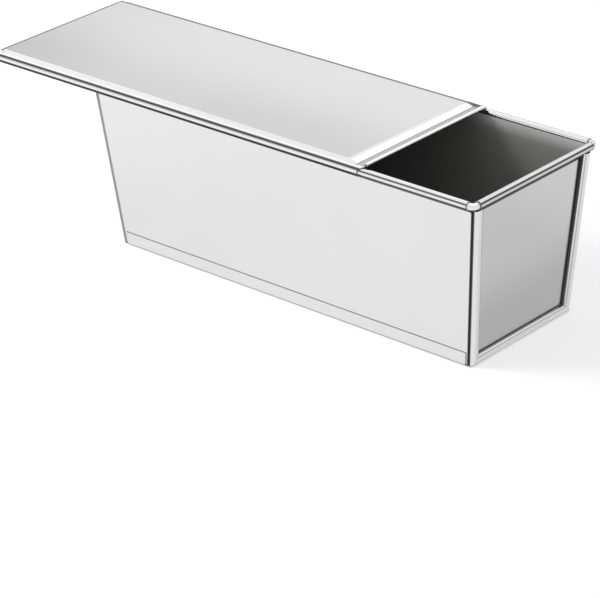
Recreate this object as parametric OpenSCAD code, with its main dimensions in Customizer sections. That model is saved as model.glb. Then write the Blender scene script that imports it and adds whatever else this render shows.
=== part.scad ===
// Long loaf pan of folded sheet steel with a lid that slides along its wired rim, in millimetres.
// X runs along the pan, Y across it and Z up, with the origin under the middle of the base.

/* [Pan] */
// Length over the rim rolls
pan_length = 330; // [240:1:420]
// Width over the rim rolls
pan_width = 125; // [95:1:160]
// Height from the underside of the base to the top of the rim
pan_height = 118; // [80:1:150]
// How far each end wall leans in between the rim and the base
end_lean = 11.5; // [2:0.5:20]
// How far each side wall leans in between the rim and the base
side_lean = 7.5; // [1:0.5:12]
// Thickness of the pan's sheet
pan_sheet = 0.5; // [0.4:0.05:0.8]

/* [Rim] */
// Diameter of the wire inside the rim
wire_d = 4.5; // [3.6:0.1:5]
// Gap between the wire and the sheet rolled round it
wire_gap = 0.05; // [0.02:0.01:0.1]
// Centre line radius of the wire's elbow at each corner
elbow_r = 2.8; // [2.6:0.1:3.5]
// Length that each roll stops short of the corner, where the wire is bare
roll_cut = 3.6; // [3.5:0.1:6]
// Angle that the free edge of each roll stops short of a full turn
roll_open = 44; // [42:1:80]

/* [Corner seams] */
// Width of the upright seam on the face of each end
seam_width = 6.6; // [5.5:0.1:9]
// Height of the seam along the bottom of each end
base_seam = 6.4; // [5.5:0.1:9]
// Depth of each end panel behind the face of its seams
seam_depth = 3.4; // [3.1:0.1:5]
// Outside radius of the fold at the pan's corners
seam_bend = 2.4; // [1.5:0.1:2.7]
// Outside radius of the fold at a seam's inner edge
lip_bend = 1.3; // [1.1:0.1:1.6]
// Clearance between the layers of a seam
seam_gap = 0.1; // [0.05:0.01:0.2]
// Distance between the rim roll and the top of each upright seam
seam_drop = 1.5; // [0.5:0.1:3]
// Inside radius of the folds at each end panel's flanges
flange_bend = 0.4; // [0.3:0.1:0.7]

/* [Base] */
// Height of the tray's edge that laps the outside of each side wall
lap_height = 9.5; // [5:0.1:15]
// Outside radius of the fold between the tray's floor and its lapped edge
lap_bend = 1.1; // [0.9:0.1:1.5]
// Clearance between the lapped edge and the side wall
lap_gap = 0.08; // [0.05:0.01:0.15]

/* [Lid] */
// Length of the lid over its lip and its bead
lid_length = 330; // [240:1:430]
// How far the lid stands open, from fully closed
lid_open = 87; // [0:1:200]
// Thickness of the lid's sheet
lid_sheet = 0.5; // [0.4:0.05:0.8]
// Running clearance between the lid's channels and the rim rolls
lid_gap = 0.25; // [0.2:0.05:0.6]
// Rise of the lid's panel above its edges
panel_rise = 1.5; // [1.2:0.1:3]
// Slope of the panel's pressed border along its sides and at the lip
border_angle = 33; // [25:1:45]
// Slope of the panel's wider border at the bead
end_border_angle = 12; // [10:1:25]
// Inside radius of the pressed bends
border_bend = 1.5; // [1:0.1:2.5]
// Flat width between the border and the middle of the rim roll
ledge_width = 1; // [0.4:0.1:3]
// Width of the channel's lip that turns in under the rim roll
channel_lip = 0.8; // [0.3:0.1:1.2]
// Length of the flat end that stands past the channels
lip_length = 4.5; // [3:0.1:8]
// Flat width outside the pressed border at that end
lip_flat = 1.2; // [0.5:0.1:3]
// Distance of that end's side edges inside the rim roll's middle
lip_inset = 2; // [1:0.1:4]
// Radius of the rounded corners at that end
lip_radius = 2; // [1:0.1:2.5]
// Outside diameter of the bead at the lid's other end
bead_d = 2.8; // [2.2:0.1:3.4]
// Width of the gutter between the border and the bead
gutter_width = 4.8; // [1:0.1:8]
// Size of the cut across each corner at the bead's ends
corner_cut = 5.5; // [4:0.1:8]

/* [Hidden] */
$fn = 64;

// Rim roll and the line of its centre
roll_inner = wire_d / 2 + wire_gap;
roll_outer = roll_inner + pan_sheet;
rim_x = pan_length / 2 - roll_outer;
rim_y = pan_width / 2 - roll_outer;
rim_z = pan_height - roll_outer;

// Slopes of the walls, and slants of their upright edges within each wall's own plane
end_slope = atan(end_lean / rim_z);
side_slope = atan(side_lean / rim_z);
side_slant = atan(tan(end_slope) * cos(side_slope));
end_slant = atan(tan(side_slope) * cos(end_slope));

// In a wall's own frame x is its outward normal, y runs along it and z up it, from the roll's centre.
// Folding draws the sheet a little thinner on each face, from where an upright fold leaves the wall.
seam_top = -roll_outer - seam_drop;
face_x = seam_depth - roll_inner;
side_edge = rim_x + roll_inner * tan(end_slope) * sin(side_slope) + face_x / cos(end_slope);
end_edge = rim_y - face_x * tan(side_slope) * sin(end_slope) - (roll_outer + seam_gap) / cos(side_slope);
flange_tip = face_x - seam_bend - seam_gap;
drawn = 0.01;
seam_sheet = pan_sheet - 2 * drawn;
sweep_low = -1.2 * rim_z;
overlap = 1.5;
reach = 3 * pan_length;

// Outer bottom corner, where the faces of a side and an end seam meet the ground
corner_x = rim_x + (face_x - rim_z * sin(end_slope)) / cos(end_slope);
corner_y = rim_y - rim_z * tan(side_slope) - roll_inner / cos(side_slope);
corner_z = (face_x * sin(end_slope) - rim_z) / cos(end_slope);
mitre_run = seam_width / base_seam;
mitre_back = seam_bend + overlap / 3;
tray_back = 2 * seam_width;

// Heights inside the pan
end_foot = pan_sheet + seam_gap;
side_foot = lap_bend;

// Lid
channel_inner = roll_outer + lid_gap;
channel_outer = channel_inner + lid_sheet;
ledge_z = pan_height + lid_gap;
bead_r = bead_d / 2;
bead_x = lid_length / 2 - bead_r;
double_bend = 2 * border_bend + lid_sheet;
channel_end = lip_length - lid_length / 2;
bend_steps = 6;

// Part of a ring from straight down, turning left
module sector(inner, outer, turn) {
    intersection() {
        difference() {
            circle(outer);
            circle(inner);
        }
        translate([0, -outer]) square([outer, 2 * outer]);
        rotate(turn) translate([-outer, -outer]) square([outer, 2 * outer]);
    }
}

// Section of a folded strip from the origin along x: each leg is [run, left turn, inside radius]
module folded(legs, sheet, first = 0) {
    run = legs[first][0];
    turn = legs[first][1];
    inside = legs[first][2];
    square([run, sheet]);
    if (turn > 0)
        translate([run, sheet + inside]) {
            sector(inside, inside + sheet, turn);
            rotate(turn) translate([0, -sheet - inside]) folded(legs, sheet, first + 1);
        }
}

// Places a wall's own frame: facing gives its outward direction about Z
module wall_frame(facing, half_span, slope) {
    rotate([0, 0, facing]) translate([half_span, 0, rim_z]) rotate([0, slope, 0]) children();
}

module side_frame(facing) {
    wall_frame(facing, rim_y, side_slope) children();
}

module end_frame(facing) {
    wall_frame(facing, rim_x, end_slope) children();
}

// Extrudes a y-z outline along x
module along_x(start, length) {
    translate([start, 0, 0]) rotate([90, 0, 90]) linear_extrude(length) children();
}

// Extrudes an x-z outline along y, to both sides of the middle
module along_y(length) {
    rotate([90, 0, 0]) linear_extrude(length, center = true) children();
}

// Sweeps a section down a wall's slanted edge, on both edges: x is the wall's normal, y leads off the edge
module edge_sweep(edge, slant) {
    for (side = [0, 1])
        mirror([0, side, 0]) translate([0, edge, 0]) rotate([-slant, 0, 0])
            translate([0, 0, sweep_low]) linear_extrude(-sweep_low) children();
}

// Flat sheet of a wall between two slanted edges, short of them by inset
module wall_sheet(edge, slant, inset, low) {
    top_y = edge - inset / cos(slant) + seam_top * tan(slant);
    low_y = edge - inset / cos(slant) + low * tan(slant);
    along_x(-roll_outer, pan_sheet)
        polygon([[-low_y, low], [low_y, low], [top_y, seam_top], [-top_y, seam_top]]);
}

// Top of a wall: its sheet and the roll round the wire, cut short of the corners
module rolled_edge(half_length) {
    straight = seam_top - overlap;
    open_side = 2 * roll_outer;
    rotate([90, 0, 0]) linear_extrude(2 * half_length, center = true) {
        translate([-roll_outer, straight]) square([pan_sheet, -straight]);
        difference() {
            circle(roll_outer);
            circle(roll_inner);
            polygon([[0, 0], [-open_side, 0], [-open_side, -open_side * tan(roll_open)]]);
        }
    }
}

// Half space of a wall's frame below its seams' tops
module below_seam_top() {
    translate([-reach / 2, -reach / 2, seam_top - reach]) cube(reach);
}

// Space between planes parallel to the end seams' faces, inside them by back
module between_ends(back) {
    intersection_for(facing = [0, 180])
        end_frame(facing) translate([face_x - back - reach, -reach / 2, -reach / 2]) cube(reach);
}

// Space of the tray's turned up end, with mitred sides, grown by gap
module tray_end_space(facing, back, gap) {
    low = corner_z - base_seam;
    high = corner_z + base_seam + seam_depth;
    low_y = corner_y + base_seam * mitre_run + gap;
    high_y = corner_y - (base_seam + seam_depth) * mitre_run + gap;
    end_frame(facing) along_x(face_x - back, back + seam_depth)
        polygon([[-low_y, low], [low_y, low], [high_y, high], [-high_y, high]]);
}

// Side wall with the rim roll and an upright seam hooked round each end panel's flange
module side_wall(facing) {
    hook = [
        [overlap * 2, 90, seam_bend - pan_sheet],
        [seam_width - seam_bend - lip_bend, 90, lip_bend - pan_sheet],
        [seam_depth - lip_bend - seam_gap, 0, 0]
    ];
    difference() {
        side_frame(facing) {
            intersection() {
                union() {
                    wall_sheet(side_edge, side_slant, seam_bend + overlap, sweep_low);
                    edge_sweep(side_edge, side_slant)
                        translate([-roll_inner - drawn, -seam_bend - overlap * 2])
                            rotate(90) folded(hook, seam_sheet);
                }
                below_seam_top();
            }
            rolled_edge(rim_x - roll_cut);
        }
        intersection() {
            translate([-reach / 2, -reach / 2, side_foot - reach]) cube(reach);
            between_ends(mitre_back);
        }
        for (end = [0, 180])
            tray_end_space(end, seam_depth + seam_bend, seam_gap);
        translate([-reach / 2, -reach / 2, -reach]) cube(reach);
    }
}

module front_wall() {
    color("gainsboro") side_wall(-90);
}

module back_wall() {
    color("lightgray") side_wall(90);
}

// End panel with the rim roll and flanges that stand inside the seams
module end_panel(facing) {
    outer_bend = flange_bend + pan_sheet;
    upright = [[flange_tip + roll_outer - outer_bend + drawn, 90, flange_bend], [overlap * 2, 0, 0]];
    fold = 90 + end_slope;
    fold_tangent = outer_bend * tan(fold / 2);
    fold_start = (end_foot - rim_z - roll_outer * sin(end_slope)) / cos(end_slope) + fold_tangent;
    bottom_run = (flange_tip + roll_outer) / cos(end_slope) - fold_tangent;
    bottom = [[overlap * 2, fold, flange_bend], [bottom_run, 0, 0]];
    bottom_y = end_edge + fold_start * tan(end_slant) - outer_bend;
    difference() {
        end_frame(facing) {
            intersection() {
                union() {
                    wall_sheet(end_edge, end_slant, outer_bend + overlap, fold_start + overlap);
                    edge_sweep(end_edge, end_slant)
                        translate([flange_tip, 0]) rotate(180) folded(upright, seam_sheet);
                }
                below_seam_top();
            }
            along_y(2 * bottom_y)
                translate([-roll_outer, fold_start + overlap * 2]) rotate(-90) folded(bottom, pan_sheet);
            rolled_edge(rim_y - roll_cut);
        }
        translate([-reach / 2, -reach / 2, end_foot - reach]) cube(reach);
    }
}

module left_end() {
    color("silver") end_panel(180);
}

module right_end() {
    color("silver") end_panel(0);
}

// Floor of the pan, lapped up outside the side walls and hooked up round the end panels
module base_tray() {
    side_fold = 90 - side_slope;
    side_corner = corner_y + (lap_gap + pan_sheet) / cos(side_slope);
    side_tangent = lap_bend * tan(side_fold / 2);
    lap = [[side_corner - side_tangent, side_fold, lap_bend - pan_sheet], [lap_height - side_tangent, 0, 0]];
    end_fold = 90 - end_slope;
    end_tangent = seam_bend * tan(end_fold / 2);
    hook = [
        [tray_back - end_tangent, end_fold, seam_bend - pan_sheet],
        [base_seam - end_tangent - lip_bend, 90, lip_bend - pan_sheet],
        [seam_depth - lip_bend - seam_gap, 0, 0]
    ];
    color("darkgray") {
        intersection() {
            for (side = [0, 1])
                mirror([0, side, 0]) along_x(-pan_length / 2, pan_length) folded(lap, pan_sheet);
            between_ends(mitre_back + seam_gap);
        }
        for (end = [0, 180])
            intersection() {
                rotate([0, 0, end]) along_y(pan_width)
                    translate([corner_x - tray_back, 0]) folded(hook, pan_sheet);
                tray_end_space(end, tray_back - overlap, 0);
            }
    }
}

// One closed loop of wire through all four rolls, bare at its elbows
module rim_wire() {
    wire_r = wire_d / 2;
    color("whitesmoke") translate([0, 0, rim_z])
        for (x_side = [0, 1], y_side = [0, 1])
            mirror([x_side, 0, 0]) mirror([0, y_side, 0]) {
                translate([rim_x - elbow_r, rim_y - elbow_r, 0])
                    rotate_extrude(angle = 90) translate([elbow_r, 0]) circle(wire_r);
                translate([0, rim_y, 0]) rotate([0, 90, 0]) cylinder(r = wire_r, h = rim_x - elbow_r);
                translate([rim_x, 0, 0]) rotate([-90, 0, 0]) cylinder(r = wire_r, h = rim_y - elbow_r);
            }
}

// Length of a border's straight slope, and the whole width of that border
function slope_run(slope) = (panel_rise - double_bend * (1 - cos(slope))) / sin(slope);
function border_width(slope) = double_bend * sin(slope) + slope_run(slope) * cos(slope);

// Points of a pressed border from the panel down to the edge: upper is 1 on top and 0 underneath
function border_points(slope, upper) =
    let (
        first = border_bend + upper * lid_sheet,
        second = border_bend + (1 - upper) * lid_sheet,
        centre_x = border_width(slope),
        centre_z = double_bend * cos(slope) - slope_run(slope) * sin(slope) - border_bend
    )
    concat(
        [for (k = [0:bend_steps]) let (a = k * slope / bend_steps)
            [first * sin(a), first * cos(a) - border_bend]],
        [for (k = [bend_steps:-1:0]) let (a = k * slope / bend_steps)
            [centre_x - second * sin(a), centre_z - second * cos(a)]]
    );

// Outline of the space under one face of the lid's sheet, between the feet of two borders at low and high
function raised_outline(low, low_slope, high, high_slope, upper, bottom) =
    let (
        low_points = border_points(low_slope, upper),
        high_points = border_points(high_slope, upper),
        low_top = low + border_width(low_slope),
        high_top = high - border_width(high_slope)
    )
    concat(
        [[high, bottom]],
        [for (k = [len(high_points) - 1:-1:0])
            [high_top + high_points[k][0], panel_rise + high_points[k][1]]],
        [for (p = low_points) [low_top - p[0], panel_rise + p[1]]],
        [[low, bottom]]
    );

// Space under the top or the underside of the lid's pressed panel
module raised_space(upper, bottom) {
    side_foot_y = rim_y - ledge_width;
    lip_foot = lip_flat - lid_length / 2;
    bead_foot = lid_length / 2 - bead_d - gutter_width;
    intersection() {
        along_x(-lid_length, 2 * lid_length)
            polygon(raised_outline(-side_foot_y, border_angle, side_foot_y, border_angle, upper, bottom));
        along_y(2 * pan_width)
            polygon(raised_outline(lip_foot, border_angle, bead_foot, end_border_angle, upper, bottom));
    }
}

// Plan of the lid, with its notched and rounded end and its cut corners
module lid_plan() {
    half = rim_y + channel_outer;
    tip = lid_length / 2;
    polygon([
        [channel_end, -half], [tip - corner_cut, -half], [tip, corner_cut - half],
        [tip, half - corner_cut], [tip - corner_cut, half], [channel_end, half]
    ]);
    lip_y = rim_y - lip_inset;
    translate([-tip + lip_radius, -lip_y]) square([lip_length, 2 * lip_y]);
    translate([-tip, lip_radius - lip_y]) square([lip_length, 2 * (lip_y - lip_radius)]);
    for (side = [-1, 1])
        translate([-tip + lip_radius, side * (lip_y - lip_radius)]) circle(lip_radius);
}

// Channel round the rim roll on one side, as a section
module channel_section() {
    translate([rim_y, rim_z]) {
        intersection() {
            difference() {
                circle(channel_outer);
                circle(channel_inner);
            }
            translate([0, -channel_outer]) square([channel_outer, 2 * channel_outer]);
        }
        translate([-channel_lip, -channel_outer]) square([channel_lip, lid_sheet]);
    }
}

// Lid: pressed panel, side channels, and a curled bead across one end
module lid() {
    edge_length = bead_x + lid_length / 2;
    end_round = channel_outer * 3 / 4;
    channel_low = rim_z - channel_outer;
    color("ghostwhite") translate([-lid_open, 0, 0])
        intersection() {
            union() {
                translate([0, 0, ledge_z]) {
                    difference() {
                        union() {
                            translate([-lid_length / 2, -rim_y, 0])
                                cube([edge_length, 2 * rim_y, lid_sheet]);
                            raised_space(1, 0);
                        }
                        raised_space(0, -lid_sheet);
                    }
                    along_y(2 * rim_y) translate([bead_x, bead_r]) difference() {
                        circle(bead_r);
                        circle(bead_r - lid_sheet);
                        translate([-bead_d, -bead_d]) square(bead_d);
                    }
                }
                intersection() {
                    for (side = [0, 1])
                        mirror([0, side, 0]) along_x(channel_end, lid_length) channel_section();
                    along_y(2 * pan_width) union() {
                        translate([channel_end + end_round, channel_low])
                            square([lid_length, 2 * channel_outer]);
                        translate([channel_end, channel_low + end_round])
                            square([lid_length, 2 * channel_outer]);
                        translate([channel_end + end_round, channel_low + end_round]) circle(end_round);
                    }
                }
            }
            linear_extrude(2 * pan_height) lid_plan();
        }
}

front_wall();
back_wall();
left_end();
right_end();
base_tray();
rim_wire();
lid();
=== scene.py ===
import math

import bpy
from mathutils import Matrix, Vector


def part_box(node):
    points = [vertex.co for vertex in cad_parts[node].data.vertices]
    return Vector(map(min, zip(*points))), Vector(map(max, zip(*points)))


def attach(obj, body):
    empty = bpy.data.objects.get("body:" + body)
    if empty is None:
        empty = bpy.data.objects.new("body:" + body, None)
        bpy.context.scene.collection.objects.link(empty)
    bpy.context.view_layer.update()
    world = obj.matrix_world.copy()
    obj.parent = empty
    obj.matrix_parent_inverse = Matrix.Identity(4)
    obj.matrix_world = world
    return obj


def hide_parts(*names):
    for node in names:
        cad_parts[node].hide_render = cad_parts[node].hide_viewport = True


# Lidded loaf pan of folded sheet steel, with its lid slid part way open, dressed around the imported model.
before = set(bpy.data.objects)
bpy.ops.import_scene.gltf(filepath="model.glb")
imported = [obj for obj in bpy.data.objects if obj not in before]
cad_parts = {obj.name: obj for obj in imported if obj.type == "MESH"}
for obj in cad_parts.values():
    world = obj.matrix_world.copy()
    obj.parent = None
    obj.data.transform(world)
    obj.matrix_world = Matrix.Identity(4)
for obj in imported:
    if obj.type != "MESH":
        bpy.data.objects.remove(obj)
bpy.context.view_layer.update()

mm = 0.001  # metres in a millimetre

# Camera, floor, world and lamps
cameraSettings = {
    "place": (1.1899, -1.3244, 0.8551),
    "heading": -42.81,  # degrees from +Y, clockwise seen from above
    "dip": 26.07,
    "roll": -2.38,
    "pixelFocus": 3000,  # focal length in pixels of the 600 wide frame
    "frameWidth": 600,
    "sensorWidth": 36,
    "clip": (0.05, 30),
}


def makeCamera(settings):
    data = bpy.data.cameras.new("photoCamera")
    data.sensor_width = settings["sensorWidth"]
    data.lens = settings["pixelFocus"] / settings["frameWidth"] * settings["sensorWidth"]
    data.clip_start, data.clip_end = settings["clip"]
    camera = bpy.data.objects.new("photoCamera", data)
    turn = Matrix.Rotation(-math.radians(settings["heading"]), 4, "Z")
    tilt = Matrix.Rotation(math.radians(90 - settings["dip"]), 4, "X")
    lean = Matrix.Rotation(math.radians(settings["roll"]), 4, "Z")
    camera.matrix_world = Matrix.Translation(settings["place"]) @ turn @ tilt @ lean
    bpy.context.scene.collection.objects.link(camera)
    bpy.context.scene.camera = camera


def newMaterial(name):
    material = bpy.data.materials.new(name)
    material.use_nodes = True
    nodes = material.node_tree.nodes
    nodes.clear()
    output = nodes.new("ShaderNodeOutputMaterial")
    return material, nodes, material.node_tree.links, output


def mathNode(material, operation, first, second):
    node = material.node_tree.nodes.new("ShaderNodeMath")
    node.operation = operation
    for socket, value in zip(node.inputs, (first, second)):
        if isinstance(value, (int, float)):
            socket.default_value = value
        else:
            material.node_tree.links.new(value, socket)
    return node.outputs[0]


floorSettings = {
    "size": 12,
    "colour": (0.46, 0.46, 0.458, 1),
    "glow": 0.6,  # light that only the camera, mirrors and glass see
}


def makeFloor(settings):
    half = settings["size"] / 2
    corners = [(-half, -half, 0), (half, -half, 0), (half, half, 0), (-half, half, 0)]
    mesh = bpy.data.meshes.new("floor")
    mesh.from_pydata(corners, [], [(0, 1, 2, 3)])
    floor = bpy.data.objects.new("floor", mesh)
    bpy.context.scene.collection.objects.link(floor)
    material, nodes, links, output = newMaterial("paleFloor")
    paint = nodes.new("ShaderNodeBsdfDiffuse")
    paint.inputs["Color"].default_value = settings["colour"]
    light = nodes.new("ShaderNodeEmission")
    path = nodes.new("ShaderNodeLightPath")
    seen = mathNode(material, "MAXIMUM", path.outputs["Is Camera Ray"], path.outputs["Is Glossy Ray"])
    seen = mathNode(material, "MAXIMUM", seen, path.outputs["Is Transmission Ray"])
    links.new(mathNode(material, "MULTIPLY", seen, settings["glow"]), light.inputs["Strength"])
    both = nodes.new("ShaderNodeAddShader")
    links.new(paint.outputs[0], both.inputs[0])
    links.new(light.outputs[0], both.inputs[1])
    links.new(both.outputs[0], output.inputs["Surface"])
    mesh.materials.append(material)


worldSettings = {
    # levels by the sine of height: behind the pan, and on the camera's side
    "far": [
        (-1, 0.5), (-0.03, 0.12), (0.16, 0.15), (0.29, 1), (0.44, 1),
        (0.6, 1.4), (0.7, 1.4), (0.76, 1.1), (0.9, 1.2),
    ],
    "near": [(-1, 0.5), (-0.03, 1), (0.46, 1.05), (0.5, 0.5), (0.58, 0.5), (0.62, 1.05), (0.93, 1.3)],
    "farWay": (-0.68, 0.73, 0),  # level direction of what is behind the pan
    "farBlend": (-0.1, 0.5),  # share of that direction where one side turns into the other
    "strength": 2,
    "plain": 0.62,  # even level at which the world lights the floor and what isn't glossy
}


def makeWorld(settings):
    world = bpy.data.worlds.new("studio")
    bpy.context.scene.world = world
    world.use_nodes = True
    nodes, links = world.node_tree.nodes, world.node_tree.links
    nodes.clear()
    output = nodes.new("ShaderNodeOutputWorld")
    background = nodes.new("ShaderNodeBackground")
    place = nodes.new("ShaderNodeTexCoord")
    split = nodes.new("ShaderNodeSeparateXYZ")
    height = nodes.new("ShaderNodeMapRange")
    height.inputs["From Min"].default_value = -1
    links.new(place.outputs["Generated"], split.inputs[0])
    links.new(split.outputs["Z"], height.inputs["Value"])
    ramps = []
    for side in ("far", "near"):
        ramp = nodes.new("ShaderNodeValToRGB")
        links.new(height.outputs[0], ramp.inputs[0])
        elements = ramp.color_ramp.elements
        while len(elements) < len(settings[side]):
            elements.new(0.5)
        for element, (sine, level) in zip(elements, settings[side]):
            element.position = (sine + 1) / 2
            element.color = [level / settings["strength"]] * 3 + [1]
        ramps.append(ramp)
    way = nodes.new("ShaderNodeVectorMath")
    way.operation = "DOT_PRODUCT"
    way.inputs[1].default_value = settings["farWay"]
    links.new(place.outputs["Generated"], way.inputs[0])
    share = nodes.new("ShaderNodeMapRange")
    share.interpolation_type = "SMOOTHSTEP"
    for socket, value in zip(("From Min", "From Max"), settings["farBlend"]):
        share.inputs[socket].default_value = value
    links.new(way.outputs["Value"], share.inputs["Value"])
    around = nodes.new("ShaderNodeMix")
    around.data_type = "RGBA"
    links.new(share.outputs[0], around.inputs[0])
    links.new(ramps[1].outputs[0], around.inputs[6])
    links.new(ramps[0].outputs[0], around.inputs[7])
    path = nodes.new("ShaderNodeLightPath")
    level = nodes.new("ShaderNodeMix")
    level.data_type = "RGBA"
    level.inputs[7].default_value = [settings["plain"] / settings["strength"]] * 3 + [1]
    background.inputs["Strength"].default_value = settings["strength"]
    links.new(path.outputs["Is Diffuse Ray"], level.inputs[0])
    links.new(around.outputs[2], level.inputs[6])
    links.new(level.outputs[2], background.inputs["Color"])
    links.new(background.outputs[0], output.inputs["Surface"])


lampSettings = [
    {"name": "keyLamp", "place": (-1.3, -1.0, 1.5), "aim": (0, 0, 0.05), "size": (0.9, 0.9), "power": 30},
]


def makeLamp(settings):
    data = bpy.data.lights.new(settings["name"], "AREA")
    data.shape = "RECTANGLE"
    data.size, data.size_y = settings["size"]
    data.energy = settings["power"]
    lamp = bpy.data.objects.new(settings["name"], data)
    place = Vector(settings["place"])
    lamp.location = place
    lamp.visible_glossy = False  # it lights the pan but isn't mirrored in it
    lamp.rotation_euler = (Vector(settings["aim"]) - place).to_track_quat("-Z", "Y").to_euler()
    bpy.context.scene.collection.objects.link(lamp)


makeCamera(cameraSettings)
makeFloor(floorSettings)
makeWorld(worldSettings)
for lamp in lampSettings:
    makeLamp(lamp)
bpy.context.scene.view_settings.view_transform = "Standard"
bpy.context.scene.cycles.glossy_bounces = 12
bpy.context.scene.cycles.max_bounces = 16
print("stage 2: camera, floor, world and lamps")


# Satin sheet and drawn wire
def makeMetal(name, settings):
    material, nodes, links, output = newMaterial(name)

    def attribute(name):
        node = nodes.new("ShaderNodeAttribute")
        node.attribute_name = name
        return node.outputs["Fac"]

    def mixColour(share, first, second):
        node = nodes.new("ShaderNodeMix")
        node.data_type = "RGBA"
        links.new(share, node.inputs[0])
        for socket, value in ((node.inputs[6], first), (node.inputs[7], second)):
            if isinstance(value, (tuple, list)):
                socket.default_value = list(value) + [1]
            else:
                links.new(value, socket)
        return node.outputs[2]

    def noise(scale, stretch, detail):
        node = nodes.new("ShaderNodeTexNoise")
        node.inputs["Scale"].default_value = scale
        node.inputs["Detail"].default_value = detail
        mapping = nodes.new("ShaderNodeMapping")
        mapping.inputs["Scale"].default_value = stretch
        links.new(place.outputs["Object"], mapping.inputs["Vector"])
        links.new(mapping.outputs[0], node.inputs["Vector"])
        return node.outputs["Fac"]

    def ranged(value, low, high, bottom, top):
        node = nodes.new("ShaderNodeMapRange")
        links.new(value, node.inputs["Value"])
        for socket, number in zip(("From Min", "From Max", "To Min", "To Max"), (low, high, bottom, top)):
            node.inputs[socket].default_value = number
        return node.outputs[0]

    shader = nodes.new("ShaderNodeBsdfPrincipled")
    links.new(shader.outputs[0], output.inputs["Surface"])
    place = nodes.new("ShaderNodeTexCoord")
    inside = attribute("inside")
    grain = noise(1, settings["grainScale"], 4)
    cloud = noise(settings["cloudScale"], (1, 1, 1), 2)
    colour = settings["colour"]
    dull = [level * (1 - settings["toneSpread"]) for level in colour]
    tone = mixColour(ranged(cloud, *settings["cloudRange"], 0, 1), dull, colour)
    # Inner face: painted shade and a painted warm reflection, and painted light close under the rolls
    tone = mixColour(inside, tone, settings["insidePaintedShade"])
    tone = mixColour(attribute("lit"), tone, settings["insidePaintedLight"])

    # Painted shade and painted dark reflections along creases and folds, and painted shade in crevices by
    # how shut in they are: a dark colour that neither mirrors nor shines
    hollow = nodes.new("ShaderNodeAmbientOcclusion")
    hollow.samples = 8
    hollow.inputs["Distance"].default_value = settings["creviceReach"]
    shut = ranged(hollow.outputs["AO"], *settings["creviceRange"], settings["crevice"], 0)
    paintedDark = mathNode(material, "MULTIPLY", attribute("paintedShade"), settings["paintedShadeShare"])
    paintedDark = mathNode(material, "MAXIMUM", paintedDark, shut)
    unpainted = mathNode(material, "SUBTRACT", 1, paintedDark)
    metal = ranged(inside, 0, 1, 1, settings["insideMetal"])
    links.new(mixColour(paintedDark, tone, settings["paintedShade"]), shader.inputs["Base Color"])
    links.new(mathNode(material, "MULTIPLY", metal, unpainted), shader.inputs["Metallic"])
    links.new(mathNode(material, "MULTIPLY", unpainted, 0.5), shader.inputs["Specular IOR Level"])

    rough = ranged(mathNode(material, "ADD", grain, cloud), *settings["roughRange"], *settings["roughness"])
    dullness = mathNode(material, "MULTIPLY", inside, settings["insideRough"])
    links.new(mathNode(material, "ADD", rough, dullness), shader.inputs["Roughness"])
    bump = nodes.new("ShaderNodeBump")
    bump.inputs["Distance"].default_value = settings["grainDepth"]
    links.new(ranged(inside, 0, 1, 1, settings["insideGrain"]), bump.inputs["Strength"])
    links.new(grain, bump.inputs["Height"])
    links.new(bump.outputs[0], shader.inputs["Normal"])
    return material


sheetSettings = {
    "colour": (0.77, 0.77, 0.77),
    "toneSpread": 0.03,
    "grainScale": (120, 2500, 2500),  # the rolling marks run along the pan
    "grainDepth": 0.000012,
    "cloudScale": 9,
    "cloudRange": (0.35, 0.65),
    "roughRange": (0.6, 1.4),
    "roughness": (0.08, 0.15),
    # the inner face's darker, warmer colour is painted shade and a painted warm reflection
    "insidePaintedShade": (0.43, 0.417, 0.395),
    "insidePaintedLight": (1, 0.985, 0.96),  # colour of the painted light on the inner face close under the rolls
    "insideMetal": 0.6,
    "insideRough": 0.3,
    "insideGrain": 0.1,
    # colour and strength of the painted shade and painted dark reflections
    "paintedShade": (0.018, 0.018, 0.018),
    "paintedShadeShare": 0.97,
    "crevice": 0.9,  # how dark the painted shade in the deepest crevices is
    "creviceReach": 0.0025,
    "creviceRange": (0.25, 0.8),  # open share of the surroundings, from the darkest painted shade to the clear
}
# the walls and tray, and the ends much more, get darker copies of one sheet colour: painted shade
sheet = makeMetal("satinSheet", {**sheetSettings, "colour": (0.735, 0.735, 0.735)})
shadedEndSheet = makeMetal("satinEndSheetShaded", {**sheetSettings, "colour": (0.585, 0.585, 0.585)})
lidSheet = makeMetal("satinLidSheet", sheetSettings)
wireMetal = makeMetal("drawnWire", {**sheetSettings, "roughness": (0.1, 0.14)})
print("stage 3: materials")

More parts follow.
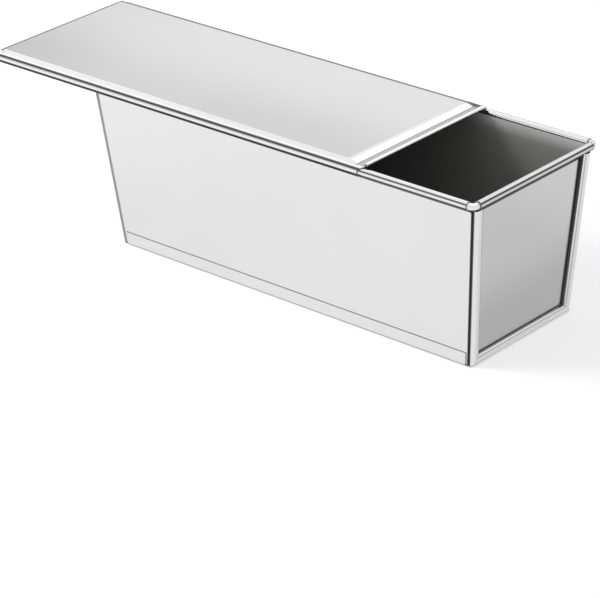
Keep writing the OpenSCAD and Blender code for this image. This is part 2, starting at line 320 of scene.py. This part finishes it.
# Folding of sheet, in millimetres
panSettings = {
    "sheet": 0.5,
    "wire": 4.5,
    "wireGap": 0.05,
    "endLean": 11.5,  # how far an end leans in over its height
    "sideLean": 7.5,
    "rollCut": 3.6,  # from a roll's cut end to the line of the wire round the corner
    "rollOpen": 44,  # degrees that a roll leaves open beside its wall
    "elbow": 2.8,  # radius of the wire's corners
    "seamWidth": 6.6,  # seen on the pan's end
    "baseSeam": 6.4,
    "seamDepth": 3.4,
    "seamBend": 2.4,  # outside radius at the pan's corner
    "lipBend": 1.3,  # outside radius where the seam turns in
    "seamGap": 0.1,
    "seamDrop": 1.5,  # from the rolls down to the seams
    "flangeBend": 0.4,
    "crown": 24,  # half the angle that a seam's face is curved through
    "support": 0.25,  # distance between a bend and the mesh line that keeps the flat beside it flat
    "bendStep": 11,
    # painted shade and painted dark reflections from start to end of a seam's corner bend, face, face's
    # inner edge and lip bend
    "hookMarks": ((1, 0.6, 0, 0, 0, 0, 0), 0, (0, 0, 0.35), (0.5, 0.25, 0, 0, 0, 0)),
    # painted shade on a seam's lip
    "lipMark": 0.1,
    "rollSteps": 44,
    "underRoll": (-6, 12),  # angle below which a roll's underside gets painted shade, and degrees to fade in
    "rollLine": (37, 8, 0.9),  # angle, half width and strength of the painted dark reflection line along each roll
    "rollFoot": (0.5, 1),  # painted shade on the two rows between a roll and its wall
    "cutMark": 0.8,  # painted shade round a roll's cut ends
}
tiny = 0.001  # two places closer than this are the same
sheetT = panSettings["sheet"]
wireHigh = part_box("rim_wire")[1] / mm
rollInner = panSettings["wire"] / 2 + panSettings["wireGap"]
rollOuter = rollInner + sheetT
rollMid = rollInner + sheetT / 2
rimX = wireHigh[0] - panSettings["wire"] / 2
rimY = wireHigh[1] - panSettings["wire"] / 2
rimZ = wireHigh[2] - panSettings["wire"] / 2
endSlope = math.atan(panSettings["endLean"] / rimZ)
sideSlope = math.atan(panSettings["sideLean"] / rimZ)
sideSlant = math.atan(math.tan(endSlope) * math.cos(sideSlope))
endSlant = math.atan(math.tan(sideSlope) * math.cos(endSlope))
seamTop = -rollOuter - panSettings["seamDrop"]
faceX = panSettings["seamDepth"] - rollInner
sideEdge = rimX + rollInner * math.tan(endSlope) * math.sin(sideSlope) + faceX / math.cos(endSlope)
endEdge = (
    rimY
    - faceX * math.tan(sideSlope) * math.sin(endSlope)
    - (rollOuter + panSettings["seamGap"]) / math.cos(sideSlope)
)
flangeTip = faceX - panSettings["seamBend"] - panSettings["seamGap"]
cornerX = rimX + (faceX - rimZ * math.sin(endSlope)) / math.cos(endSlope)
cornerY = rimY - rimZ * math.tan(sideSlope) - rollInner / math.cos(sideSlope)
cornerZ = (faceX * math.sin(endSlope) - rimZ) / math.cos(endSlope)
mitreRun = panSettings["seamWidth"] / panSettings["baseSeam"]


# Gentle waves of a pressed panel, from -1 to 1
def wave(x, y, phase):
    first = math.sin(x / 31 + phase) * math.cos(y / 23 + 1.7 * phase)
    second = math.sin(x / 17 + y / 29 + 2.3 * phase)
    return 0.65 * first + 0.35 * second


def ease(value):
    value = min(1, max(0, value))
    return value * value * (3 - 2 * value)


def spread(low, high, count):
    return [low + (high - low) * step / (count - 1) for step in range(count)]


# Value part of the way through a list of values, or a single value
def partWay(values, share):
    if not isinstance(values, tuple):
        return values
    spot = share * (len(values) - 1)
    first = min(int(spot), len(values) - 2)
    return values[first] + (values[first + 1] - values[first]) * (spot - first)


# Middle line of a folded strip: each leg is run, left turn, radius and how much painted shade it carries
def foldedLine(start, heading, legs):
    x, y = start
    angle = math.radians(heading)
    points = [(x, y, 0)]
    for run, turn, radius, paintedShade in legs:
        near = min(panSettings["support"], run / 4)
        for distance in (near, run - near, run) if run > 0 else ():
            mark = 0 if turn else paintedShade
            points.append((x + distance * math.cos(angle), y + distance * math.sin(angle), mark))
        x += run * math.cos(angle)
        y += run * math.sin(angle)
        count = math.ceil(turn / panSettings["bendStep"])
        centre = (x - radius * math.sin(angle), y + radius * math.cos(angle))
        for step in range(1, count + 1):
            bent = angle + math.radians(turn) * step / count
            x = centre[0] + radius * math.sin(bent)
            y = centre[1] - radius * math.cos(bent)
            points.append((x, y, partWay(paintedShade, step / count)))
        angle += math.radians(turn)
    return points


# Middle line of a seam with a crowned face, from the outer corner where two outer faces would meet
def hookLine(fold, reach):
    turn = math.radians(fold)
    crown = math.radians(panSettings["crown"])
    first = panSettings["seamBend"] - sheetT / 2
    second = panSettings["lipBend"] - sheetT / 2
    back = panSettings["seamBend"] * math.tan(turn / 2)
    width = reach - sheetT / 2 + back * math.cos(turn) - sheetT / 2 * math.sin(turn)
    width -= first * (math.sin(turn) - math.sin(crown)) + second * (1 - math.sin(crown))
    face = width / 2 / math.sin(crown)
    half = panSettings["crown"]
    lip = panSettings["seamDepth"] - panSettings["lipBend"] - panSettings["seamGap"]
    marks = panSettings["hookMarks"]
    legs = [
        (0, fold - half, first, marks[0]),
        (0, 1.6 * half, face, marks[1]),
        (0, 0.4 * half, face, marks[2]),
        (0, 90 - half, second, marks[3]),
        (lip, 0, 0, panSettings["lipMark"]),
    ]
    line = foldedLine((0, sheetT / 2), 0, legs)
    outmost = max(x * math.sin(turn) - y * math.cos(turn) for x, y, paintedShade in line)
    shift = (outmost + sheetT / 2) / math.sin(turn)
    return [(x - shift, y, paintedShade) for x, y, paintedShade in line]


def wallFrame(facing, halfSpan, slope):
    turn = Matrix.Rotation(math.radians(facing), 4, "Z")
    return turn @ Matrix.Translation((halfSpan, 0, rimZ)) @ Matrix.Rotation(slope, 4, "Y")


# Place on a wall's slanted edge, at height z in the wall's frame and offset y off that edge
def slantedEdge(edge, slant, offset, z):
    along = (z + offset * math.sin(slant)) / math.cos(slant)
    return edge + offset * math.cos(slant) + along * math.sin(slant)


# Grid of points in millimetres, with faces wherever a cell has all four corners
def gridMesh(name, columns, rows, place, closedRows=False, closedColumns=False):
    index, points, marks, rolled, faces = {}, [], [], [], []
    for row in range(rows):
        for column in range(columns):
            spot = place(column, row)
            if spot is not None:
                index[column, row] = len(points)
                points.append(Vector(spot[0]) * mm)
                marks.append(spot[1])
                rolled.append(spot[2] if len(spot) > 2 else 0)
    for row in range(rows if closedRows else rows - 1):
        for column in range(columns if closedColumns else columns - 1):
            nextRow, nextColumn = (row + 1) % rows, (column + 1) % columns
            corners = [(column, row), (nextColumn, row), (nextColumn, nextRow), (column, nextRow)]
            if all(corner in index for corner in corners):
                faces.append([index[corner] for corner in corners])
    mesh = bpy.data.meshes.new(name)
    mesh.from_pydata(points, [], faces)
    mesh.attributes.new("paintedShade", "FLOAT", "POINT").data.foreach_set("value", marks)
    mesh.attributes.new("rolled", "FLOAT", "POINT").data.foreach_set("value", rolled)
    return mesh


pieceSettings = {
    "centreHeight": 60,
    "brightDepth": 11,  # how far below the rolls the painted light on the inside begins
    "sharpAngle": 40,
}


# The sheet's inner face is duller, carries painted shade and a painted warm reflection, gets painted light
# close under the rolls and has none of the painted shade marks.
# Where it is rolled over it is the outer face.
def markInside(middle, thick):
    count = len(middle.vertices)
    rolled = [item.value for item in middle.attributes["rolled"].data]
    centre = Vector((0, 0, pieceSettings["centreHeight"])) * mm
    facing = 0
    for first, second in zip(middle.vertices, thick.vertices):
        facing += (second.co - first.co).normalized().dot((centre - first.co).normalized())
    firstInside = facing > 0
    for attribute in ("inside", "lit"):
        thick.attributes.new(attribute, "FLOAT", "POINT")
    inside, lit, paintedShade = [thick.attributes[attribute].data for attribute in ("inside", "lit", "paintedShade")]
    for number in range(2 * count):
        inner = (number < count) == firstInside
        turned = rolled[number % count] > 0.5
        depth = rimZ - thick.vertices[number].co.z / mm
        top = ease(1 - depth / pieceSettings["brightDepth"]) if depth > 0 else 0
        inside[number].value = 1 if inner and not turned else 0
        lit[number].value = top * inside[number].value
        if inner != turned:
            paintedShade[number].value = 0


# Finished piece: the sheet's thickness on both sides of its middle surface, smooth but for its cut edges
def makePiece(name, mesh, thickness, material, body, node):
    piece = bpy.data.objects.new(name, mesh)
    bpy.context.scene.collection.objects.link(piece)
    if thickness:
        solid = piece.modifiers.new("thickness", "SOLIDIFY")
        solid.thickness = thickness * mm
        solid.offset = 0
        graph = bpy.context.evaluated_depsgraph_get()
        thick = bpy.data.meshes.new_from_object(piece.evaluated_get(graph))
        piece.modifiers.clear()
        markInside(mesh, thick)
        piece.data = thick
    piece.data.shade_smooth()
    piece.data.set_sharp_from_angle(angle=math.radians(pieceSettings["sharpAngle"]))
    piece.data.materials.clear()
    piece.data.materials.append(material)
    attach(piece, body)
    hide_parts(node)


# Rows of a rolled edge from its free end over the top to its wall: x and z in the wall's frame, and painted
# shade
def rollRows():
    sweep = 360 - panSettings["rollOpen"]
    count = panSettings["rollSteps"]
    under, fade = panSettings["underRoll"]
    middle, width, dullness = panSettings["rollLine"]
    high, low = panSettings["rollFoot"]
    rows = []
    for step in range(count + 1):
        turned = 180 - sweep + sweep * step / count
        angle = math.radians(turned)
        mark = ease((under - turned) / fade)
        line = dullness * ease(2 - abs(turned - middle) / width)
        rows.append((rollMid * math.cos(angle), rollMid * math.sin(angle), max(mark, line)))
    return rows + [(-rollMid, -panSettings["support"], high), (-rollMid, -rollOuter, low)]


# Lowest point from top towards low where every test still holds
def clippedLow(top, low, tests):
    share = 1
    for test in tests:
        above, below = test(top), test(low)
        if below < 0:
            share = min(share, above / (above - below))
    return top + (low - top) * share


sideSettings = {
    "lapBend": 1.1,
    "panelColumns": 44,
    "panelRows": 18,
    "ripple": 0.12,
    "calm": 18,
    "lapCalm": 12,
    "panelEdge": 2.4,
    "topRows": (0, 0.003, 0.009, 0.016, 0.03),  # rows under the roll, as shares of the height
    "panelSpan": (0.045, 0.98),
    "rowMarks": (1, 1, 0.8),  # painted shade under the roll on the first of them
    # painted shade on the wall's ends beside the seams is weaker on the left
    "leftEdgeMark": 0.6,
}


def sideWall(name, facing):
    settings = sideSettings
    frameMatrix = wallFrame(facing, rimY, sideSlope)
    hook = hookLine(90, panSettings["seamWidth"])
    start = hook[0][0]
    rollEnd = rimX - panSettings["rollCut"]
    edgeTop = slantedEdge(sideEdge, sideSlant, start, seamTop)
    near = [1, 1 - panSettings["support"] / edgeTop, rollEnd / edgeTop]
    inset = settings["panelEdge"] / edgeTop
    shares = [-share for share in near]
    shares += spread(inset - 1, 1 - inset, settings["panelColumns"])
    shares += near[::-1]
    columns = [(-1, spot) for spot in hook[:0:-1]] + [(0, share) for share in shares]
    columns += [(1, spot) for spot in hook[1:]]
    roll = rollRows()
    low = -1.1 * rimZ
    endFrames = [wallFrame(turn, rimX, endSlope).inverted() for turn in (0, 180)]

    def pointAt(column, z):
        side, spot = columns[column]
        if side:
            x, y = -rollInner - spot[1], side * slantedEdge(sideEdge, sideSlant, spot[0], z)
        else:
            x, y = -rollMid, spot * slantedEdge(sideEdge, sideSlant, start, z)
        return frameMatrix @ Vector((x, y, z))

    def testsFor(column):
        top = pointAt(column, seamTop)
        frameInverse = endFrames[0 if top.x > 0 else 1]

        def mitre(point):
            local = frameInverse @ point
            return abs(local.y) - (cornerY + panSettings["seamGap"] - (local.z - cornerZ) * mitreRun)

        side, spot = columns[column]
        if side:
            return [mitre, lambda point: point.z - sheetT / 2]
        foot = settings["lapBend"] if abs(spot) < 1 - tiny else sheetT
        return [lambda point: point.z - foot]

    ends = []
    for column in range(len(columns)):
        top = pointAt(column, seamTop)
        ends.append((top, clippedLow(top, pointAt(column, low), testsFor(column))))
    wallRows = [*settings["topRows"], *spread(*settings["panelSpan"], settings["panelRows"]), 1]

    def place(column, row):
        side, spot = columns[column]
        if row < len(roll):
            if side or abs(spot) * edgeTop > rollEnd + tiny:
                return None
            x, z, mark = roll[row]
            if abs(spot) * edgeTop > rollEnd - tiny:
                mark = max(mark, panSettings["cutMark"])
            return frameMatrix @ Vector((x, spot * edgeTop, z)), mark, row < len(roll) - 2
        row -= len(roll)
        top, bottom = ends[column]
        share = wallRows[row]
        point = top + (bottom - top) * share
        if side:
            return point, spot[2]
        # painted shade under the roll, and along the wall's ends beside the seams, stronger on the right
        mark = settings["rowMarks"][row] if row < len(settings["rowMarks"]) else 0
        if abs(spot) * edgeTop > rollEnd - tiny:
            mark = 1 if point.x > 0 else settings["leftEdgeMark"]
        calm = ease((1 - abs(spot)) * edgeTop / settings["calm"])
        calm *= ease(share * rimZ / settings["calm"])
        calm *= ease(((1 - share) * rimZ - settings["lapCalm"]) / settings["calm"])
        push = settings["ripple"] * calm * wave(point.x, point.z, facing)
        return point + frameMatrix.to_3x3() @ Vector((push, 0, 0)), mark

    mesh = gridMesh(name, len(columns), len(roll) + len(wallRows), place)
    makePiece(name + "Sheet", mesh, sheetT, sheet, "pan", name)


sideWall("front_wall", -90)
sideWall("back_wall", 90)
print("stage 4: side walls")

endSettings = {
    "foot": 0.6,
    "panelColumns": 20,
    "panelRows": 18,
    "ripple": 0.15,
    "calm": 14,
    "edgeMark": 1.5,  # width of the painted shade line beside the seams
    "markFade": 3,
    "cutWidth": 1.2,
    "panelEdge": 6,
    "footMark": 0.16,
    "footFrom": (45, 45),  # depth below the rim where painted shade starts to darken the panel, and over what depth
    "topRows": (0, 0.003, 0.012, 0.02, 0.03),  # rows under the roll, as shares of the height
    "panelSpan": (0.045, 0.92),
    "footRows": (0.94, 0.95, 0.97, 1),  # rows above the bottom fold, with painted shade from the second on
    "rowMarks": (1, 1, 1, 0.9),  # painted shade on the first rows under the roll
}


def endPanel(name, facing):
    settings = endSettings
    frameMatrix = wallFrame(facing, rimX, endSlope)
    bend = panSettings["flangeBend"]
    outerBend = bend + sheetT
    run = flangeTip + rollOuter - outerBend
    flange = foldedLine((flangeTip, -sheetT / 2), 180, [(run, 90, bend + sheetT / 2, 0)])
    fold = 90 + math.degrees(endSlope)
    tangent = outerBend * math.tan(math.radians(fold) / 2)
    foldStart = (settings["foot"] - rimZ - rollOuter * math.sin(endSlope)) / math.cos(endSlope) + tangent
    bottomRun = (flangeTip + rollOuter) / math.cos(endSlope) - tangent
    bottom = foldedLine(
        (-rollMid, foldStart), -90, [(0, fold, bend + sheetT / 2, 0), (bottomRun, 0, 0, 0)]
    )
    start = flange[-1][1]
    rollEnd = rimY - panSettings["rollCut"]
    edgeTop = slantedEdge(endEdge, endSlant, start, seamTop)
    hidden = panSettings["seamWidth"] - sheetT - panSettings["seamGap"]
    near = [0, panSettings["support"], settings["cutWidth"], hidden - 1, hidden]
    near += [hidden + settings["edgeMark"], hidden + settings["markFade"]]
    inset = (hidden + settings["panelEdge"]) / edgeTop
    shares = [distance / edgeTop - 1 for distance in near]
    shares += spread(inset - 1, 1 - inset, settings["panelColumns"])
    shares += [1 - distance / edgeTop for distance in near[::-1]]
    columns = [(-1, spot) for spot in flange[:-1]] + [(0, share) for share in shares]
    columns += [(1, spot) for spot in flange[-2::-1]]
    roll = rollRows()
    wallRows = [*settings["topRows"], *spread(*settings["panelSpan"], settings["panelRows"])]
    wallRows += settings["footRows"]

    def place(column, row):
        side, spot = columns[column]
        if row < len(roll):
            if side:
                return None
            x, z, mark = roll[row]
            if (1 - abs(spot)) * edgeTop < panSettings["support"] + tiny:
                mark = max(mark, panSettings["cutMark"])
            return frameMatrix @ Vector((x, spot * rollEnd, z)), mark, row < len(roll) - 2
        row -= len(roll)
        if row < len(wallRows):
            z = seamTop + (foldStart - seamTop) * wallRows[row]
            if side:
                y = side * slantedEdge(endEdge, endSlant, spot[1], z)
                return frameMatrix @ Vector((spot[0], y, z)), 0
            y = spot * slantedEdge(endEdge, endSlant, start, z)
            fromEdge = (1 - abs(spot)) * edgeTop
            calm = ease(fromEdge / settings["calm"])
            calm *= ease((seamTop - z) / settings["calm"]) * ease((z - foldStart) / settings["calm"])
            push = settings["ripple"] * calm * wave(y, z, facing + 0.6)
            # painted shade under the roll, beside the seams, along the bottom fold, and growing towards the
            # bottom
            mark = settings["rowMarks"][row] if row < len(settings["rowMarks"]) else 0
            if fromEdge < hidden + settings["edgeMark"] + tiny or wallRows[row] > settings["footRows"][0]:
                mark = 1
            depth, fade = settings["footFrom"]
            mark = max(mark, settings["footMark"] * ease((-z - depth) / fade))
            return frameMatrix @ Vector((push - rollMid, y, z)), mark
        if side:
            return None
        x, z = bottom[row - len(wallRows) + 1][:2]
        return frameMatrix @ Vector((x, spot * slantedEdge(endEdge, endSlant, start, foldStart), z)), 0

    mesh = gridMesh(name, len(columns), len(roll) + len(wallRows) + len(bottom) - 1, place)
    makePiece(name + "Sheet", mesh, sheetT, shadedEndSheet, "pan", name)


endPanel("left_end", 180)
endPanel("right_end", 0)
print("stage 5: end panels")

traySettings = {
    "lapHeight": 9.5,
    "lapBend": 1.1,
    "lapGap": 0.08,
    # painted shade on the lap's bend
    "lapMark": 0.4,
    "floorColumns": 12,
    "floorRows": 26,
    "floorEdge": (0.96, 0.99),  # shares of the half width where the floor's edge columns lie
    "endInset": 3.1,
}


def baseTray(name):
    settings = traySettings
    sideFold = 90 - math.degrees(sideSlope)
    sideCorner = cornerY + (settings["lapGap"] + sheetT) / math.cos(sideSlope)
    tangent = settings["lapBend"] * math.tan(math.radians(sideFold) / 2)
    bend = settings["lapBend"] - sheetT / 2
    legs = [(0, sideFold, bend, settings["lapMark"]), (settings["lapHeight"] - tangent, 0, 0, 0)]
    lapLine = foldedLine((sideCorner - tangent, sheetT / 2), 0, legs)
    hook = hookLine(90 - math.degrees(endSlope), panSettings["baseSeam"])
    hook = [(x + cornerX, z, paintedShade) for x, z, paintedShade in hook]
    floorY = lapLine[0][0]
    floorX = hook[0][0]
    inner = floorX - settings["endInset"]
    last, edge = settings["floorEdge"]
    shares = [-1, -edge, *spread(-last, last, settings["floorColumns"]), edge, 1]
    columns = [(-1, spot) for spot in lapLine[:0:-1]] + [(0, share) for share in shares]
    columns += [(1, spot) for spot in lapLine[1:]]
    floorRows = [-floorX] + spread(-inner, inner, settings["floorRows"]) + [floorX]
    rows = [(-1, spot) for spot in hook[:0:-1]] + [(0, x) for x in floorRows]
    rows += [(1, spot) for spot in hook[1:]]
    endInverse = wallFrame(0, rimX, endSlope).inverted()

    def place(column, row):
        side, spot = columns[column]
        end, along = rows[row]
        if side:
            if end or abs(along) > inner + tiny:
                return None
            y, z, paintedShade = spot
            lean = 0
            if abs(abs(along) - inner) < tiny:
                lean = math.copysign(z * math.tan(endSlope), along)
            return Vector((along + lean, side * y, z)), paintedShade
        if not end:
            y = spot * floorY
            if abs(abs(along) - floorX) < tiny:
                y = spot * min(floorY, cornerY)
            return Vector((along, y, sheetT / 2)), 0
        x, z, paintedShade = along
        local = endInverse @ Vector((x, 0, z))
        halfWidth = cornerY - (local.z - cornerZ) * mitreRun
        return Vector((end * x, spot * min(floorY, halfWidth), z)), paintedShade

    mesh = gridMesh(name, len(columns), len(rows), place)
    makePiece(name + "Sheet", mesh, sheetT, sheet, "pan", name)


baseTray("base_tray")
print("stage 6: base tray")

wireSettings = {"around": 24, "elbowSteps": 8}


def rimWire(name):
    radius = panSettings["wire"] / 2
    elbow = panSettings["elbow"]
    path = []
    for quarter, (sx, sy) in enumerate(((1, 1), (-1, 1), (-1, -1), (1, -1))):
        for step in range(wireSettings["elbowSteps"] + 1):
            angle = math.radians(90 * (quarter + step / wireSettings["elbowSteps"]))
            outward = Vector((math.cos(angle), math.sin(angle), 0))
            centre = Vector((sx * (rimX - elbow), sy * (rimY - elbow), rimZ))
            path.append((centre + outward * elbow, outward))

    def place(column, row):
        spot, outward = path[row]
        angle = 2 * math.pi * column / wireSettings["around"]
        return spot + radius * (outward * math.cos(angle) + Vector((0, 0, math.sin(angle)))), 0

    mesh = gridMesh(name, wireSettings["around"], len(path), place, closedRows=True, closedColumns=True)
    makePiece(name + "Round", mesh, 0, wireMetal, "pan", name)


rimWire("rim_wire")
print("stage 7: rim wire")

lidSettings = {
    "sheet": 0.5,
    "gap": 0.25,
    # The raised panel and its pressed border
    "rise": 1.5,
    "sideSlope": 45,
    "borderBend": 0.8,
    "softWidth": 7.5,  # width of the rounded border towards the bead
    "steps": (0, 0.004, 0.03, 0.08, 0.16, 0.3, 0.5, 0.7, 0.84, 0.92, 0.97, 0.996, 1),  # shares of the rise
    "ledge": 0.4,
    "crownRise": 0.3,
    "ripple": 0.12,
    "calm": (22, 25),  # distance from the panel's sides and ends over which its waves die out
    "panelColumns": 18,
    "panelRows": 44,
    "panelInset": (6, 5),
    # The side channels
    "channelLip": 0.8,
    "channelSteps": 26,
    "endRound": 0.75,  # radius of a channel's rounded end, as a share of the channel's own
    "mouthReach": 12,
    "cut": 5.5,
    "underChannel": (0, 10),  # angle below which a channel gets painted shade, and degrees to fade in
    "shoulders": ((44, 10), (74, 13)),  # angle and half width of the near and the far channel's painted dark reflection line
    "shoulderMark": 0.95,
    # The flat lip that stands past the channels
    "lipLength": 4.5,
    "lipFlat": 1.2,
    "lipInset": 2,
    "lipRadius": 2,
    "lipRows": (0, 0.15, 0.5),
    "lipJoin": 0.2,
    "bodyRows": (0, 0.8, 2.5),  # first rows beside it
    # The gutter and the bead
    "bead": 2.8,
    "beadWidth": 3.4,
    "beadOver": 0.4,
    "gutter": 5.6,
    "gutterRise": 0.45,
    "gutterRows": (0.45, 0.9, 2, 3.5, 5, 6.6),
    "curl": 272,
    "curlSteps": 20,
    "underBead": (78, 15),  # turn of the curl up to which its underside gets painted shade, and degrees to fade
    # Painted shade and painted dark reflections
    "lipMark": 1,
    "edgeMark": 0.9,  # the panel's far edge, and its edge over the lip
    "borderMark": 0.09,
    "footMark": 0.95,
    "gutterMark": 0.4,
    "markOver": 0.3,
    "bendMark": 0.5,
    # painted dark reflection on the panel towards its near side and its left end: amount, place where it
    # fades, and over what distance
    "nearReflectionPaint": (0.24, -50, 90),
    "leftReflectionPaint": (0.18, -40, 150),
}


# Height of a pressed border at a distance from its foot, and the distance for a share of its rise
class Border:
    def __init__(self, slope):
        self.slope = math.radians(slope)
        self.rise = lidSettings["rise"]
        self.radius = lidSettings["borderBend"] + lidSettings["sheet"] / 2
        self.arc = self.radius * math.sin(self.slope)
        self.arcRise = self.radius * (1 - math.cos(self.slope))
        self.width = 2 * self.arc + (self.rise - 2 * self.arcRise) / math.tan(self.slope)

    def heightAt(self, distance):
        if distance <= 0:
            return 0
        if distance >= self.width:
            return self.rise
        if distance < self.arc:
            return self.radius - math.sqrt(self.radius**2 - distance**2)
        if distance > self.width - self.arc:
            return self.rise - self.radius + math.sqrt(self.radius**2 - (self.width - distance) ** 2)
        return self.arcRise + (distance - self.arc) * math.tan(self.slope)

    def distanceAt(self, share):
        height = share * self.rise
        if height < self.arcRise:
            return math.sqrt(self.radius**2 - (self.radius - height) ** 2)
        if height > self.rise - self.arcRise:
            drop = self.rise - height
            return self.width - math.sqrt(self.radius**2 - (self.radius - drop) ** 2)
        return self.arc + (height - self.arcRise) / math.tan(self.slope)


# The same for a border that rounds off into the panel
class SoftBorder:
    def __init__(self, width):
        self.width = width
        self.rise = lidSettings["rise"]

    def heightAt(self, distance):
        share = min(1, max(0, distance / self.width))
        return self.rise * (1 - (1 - share) ** 2)

    def distanceAt(self, share):
        return self.width * (1 - math.sqrt(1 - share))


def slidingLid(name):
    settings = lidSettings
    low, high = [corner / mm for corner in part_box(name)]
    middle = (low[0] + high[0]) / 2
    tip = (high[0] - low[0]) / 2
    thick = settings["sheet"]
    channelMid = rollOuter + settings["gap"] + thick / 2
    ledgeZ = rimZ + channelMid
    side = Border(settings["sideSlope"])
    bead = SoftBorder(settings["softWidth"])
    foot = rimY - settings["ledge"]
    lipFoot = settings["lipFlat"] - tip
    beadFoot = tip - settings["beadWidth"] - settings["gutter"]
    channelEnd = settings["lipLength"] - tip
    beadX = tip - settings["beadWidth"] / 2
    beadHalf = settings["beadWidth"] / 2 - thick / 2
    beadMid = (settings["bead"] - settings["gutterRise"]) / 2 - thick / 2
    half = rimY + channelMid + thick / 2
    endRound = settings["endRound"] * (channelMid + thick / 2)
    panelSide = foot - side.width
    panelStart = lipFoot + side.width
    panelEnd = beadFoot - bead.width

    # Columns over one half, from the channel's lip to the panel: kind, y, z below the ledge
    edge = [("channel", rimY - settings["channelLip"], -2 * channelMid)]
    for step in range(settings["channelSteps"] + 1):
        angle = math.radians(-90 + 180 * step / settings["channelSteps"])
        edge.append(("channel", rimY + channelMid * math.cos(angle), channelMid * (math.sin(angle) - 1)))
    edge.append(("flat", foot + panSettings["support"], 0))
    edge += [("flat", foot - side.distanceAt(share), 0) for share in settings["steps"]]
    edge.append(("flat", panelSide - panSettings["support"], 0))
    inner = spread(-panelSide + 2, panelSide - 2, settings["panelColumns"])
    columns = [(-1, *spot) for spot in edge] + [(1, "flat", y, 0) for y in inner]
    columns += [(1, *spot) for spot in edge[::-1]]

    # Rows from the lip to the bead's free edge: stretch, and x or the curl's turn
    lipEnd = channelEnd - settings["lipJoin"]
    lipRows = [x - tip for x in settings["lipRows"]] + [lipFoot]
    lipRows += [lipFoot + side.distanceAt(share) for share in settings["steps"][1:-1]]
    lipRows += [panelStart, panelStart + settings["markOver"]]
    lipRows = [x for x in lipRows if x < lipEnd - 0.15] + [lipEnd]
    bodyRows = [channelEnd + x for x in settings["bodyRows"]]
    first, last = settings["panelInset"]
    bodyRows += spread(panelStart + first, panelEnd - last, settings["panelRows"])
    bodyRows.append(panelEnd - 1)
    bodyRows += [beadFoot - bead.distanceAt(share) for share in settings["steps"][::-1]]
    bodyRows += [beadFoot + x for x in settings["gutterRows"]] + [beadX]
    rows = [("lip", x) for x in lipRows] + [("body", x) for x in bodyRows]
    for step in range(1, settings["curlSteps"] + 1):
        rows.append(("bead", math.radians(settings["curl"] * step / settings["curlSteps"])))

    def height(x, y):
        rise = min(side.heightAt(foot - y), side.heightAt(x - lipFoot), bead.heightAt(beadFoot - x))
        if x > beadFoot:
            rise += settings["gutterRise"] * ease((x - beadFoot) / (beadX - beadFoot))
        across, lengthways = settings["calm"]
        calm = ease((panelSide - y) / across)
        calm *= ease((x - panelStart) / lengthways) * ease((panelEnd - x) / lengthways)
        if calm > 0:
            rise += calm * settings["ripple"] * wave(x, y * 1.3, 2.1)
            rise += settings["crownRise"] * calm * (1 - (y / panelSide) ** 2)
        return rise

    def place(column, row):
        hand, kind, y, drop = columns[column]
        sign = hand if y >= 0 else -hand
        size = abs(y)
        stretch, x = rows[row]
        if stretch == "lip":
            if kind == "channel" and drop < 0:
                return None
            limit = rimY - settings["lipInset"]
            fromEnd = x + tip
            if fromEnd < settings["lipRadius"]:
                inset = settings["lipRadius"] - fromEnd
                limit -= settings["lipRadius"] - math.sqrt(settings["lipRadius"] ** 2 - inset**2)
            calmSide = panelSide - 2
            if size > calmSide:
                size = calmSide + (size - calmSide) * (limit - calmSide) / (rimY - calmSide)
            # painted shade on the lip and at the panel's bend
            mark = settings["lipMark"] if fromEnd < settings["lipFlat"] + settings["markOver"] else 0
            if x > panelStart - settings["bendMark"]:
                mark = settings["edgeMark"]
            return Vector((middle + x, sign * size, ledgeZ + height(x, size))), mark
        if stretch == "bead":
            if kind == "channel" and drop < 0:
                return None
            curl = beadX + beadHalf * math.sin(x)
            z = ledgeZ + settings["gutterRise"] + beadMid * (1 - math.cos(x))
            size *= (half - settings["cut"] + settings["beadOver"]) / rimY
            under, fade = settings["underBead"]
            return Vector((middle + curl, sign * size, z)), ease((under - math.degrees(x)) / fade), 1
        if kind == "channel":
            start = channelEnd
            above = ledgeZ + drop - (rimZ - channelMid - thick / 2)
            if above < endRound:
                start += endRound - math.sqrt(max(0, endRound**2 - (endRound - above) ** 2))
            reach = settings["mouthReach"]
            if x < channelEnd + reach:
                x = start + (x - channelEnd) * (channelEnd + reach - start) / reach
            if drop < 0 and x > beadFoot:
                end = tip - max(0, size - (half - settings["cut"]))
                x = beadFoot + (x - beadFoot) * (end - beadFoot) / (beadX - beadFoot)
            # painted shade under the channel, and its painted dark reflection line
            level = math.degrees(math.asin(max(-1, min(1, drop / channelMid + 1))))
            under, fade = settings["underChannel"]
            shoulder, width = settings["shoulders"][0 if sign < 0 else 1]
            line = settings["shoulderMark"] * ease(2 - abs(level - shoulder) / width)
            if x > beadFoot and drop == 0:
                drop = height(x, size)
            return Vector((middle + x, sign * size, ledgeZ + drop)), max(ease((under - level) / fade), line)
        # painted shade in the gutter, at its foot, along the far edge and border, and painted dark
        # reflection on the panel towards its near side and left end
        mark = settings["gutterMark"] if beadFoot + 0.1 < x < beadX - 0.5 else 0
        if -0.1 < x - beadFoot < 0.5:
            mark = settings["footMark"]
        if sign > 0 and size > panelSide - settings["markOver"]:
            mark = settings["edgeMark"]
        elif size > panelSide:
            mark = max(mark, settings["borderMark"])
        elif x < panelEnd:
            amount, start, fade = settings["nearReflectionPaint"]
            mark = amount * (1 - ease((sign * size - start) / fade))
            amount, start, fade = settings["leftReflectionPaint"]
            mark += amount * ease((start - x) / fade)
        return Vector((middle + x, sign * size, ledgeZ + height(x, size))), mark

    mesh = gridMesh(name, len(columns), len(rows), place)
    makePiece(name + "Sheet", mesh, thick, lidSheet, "lid", name)


slidingLid("lid")
print("stage 8: lid")
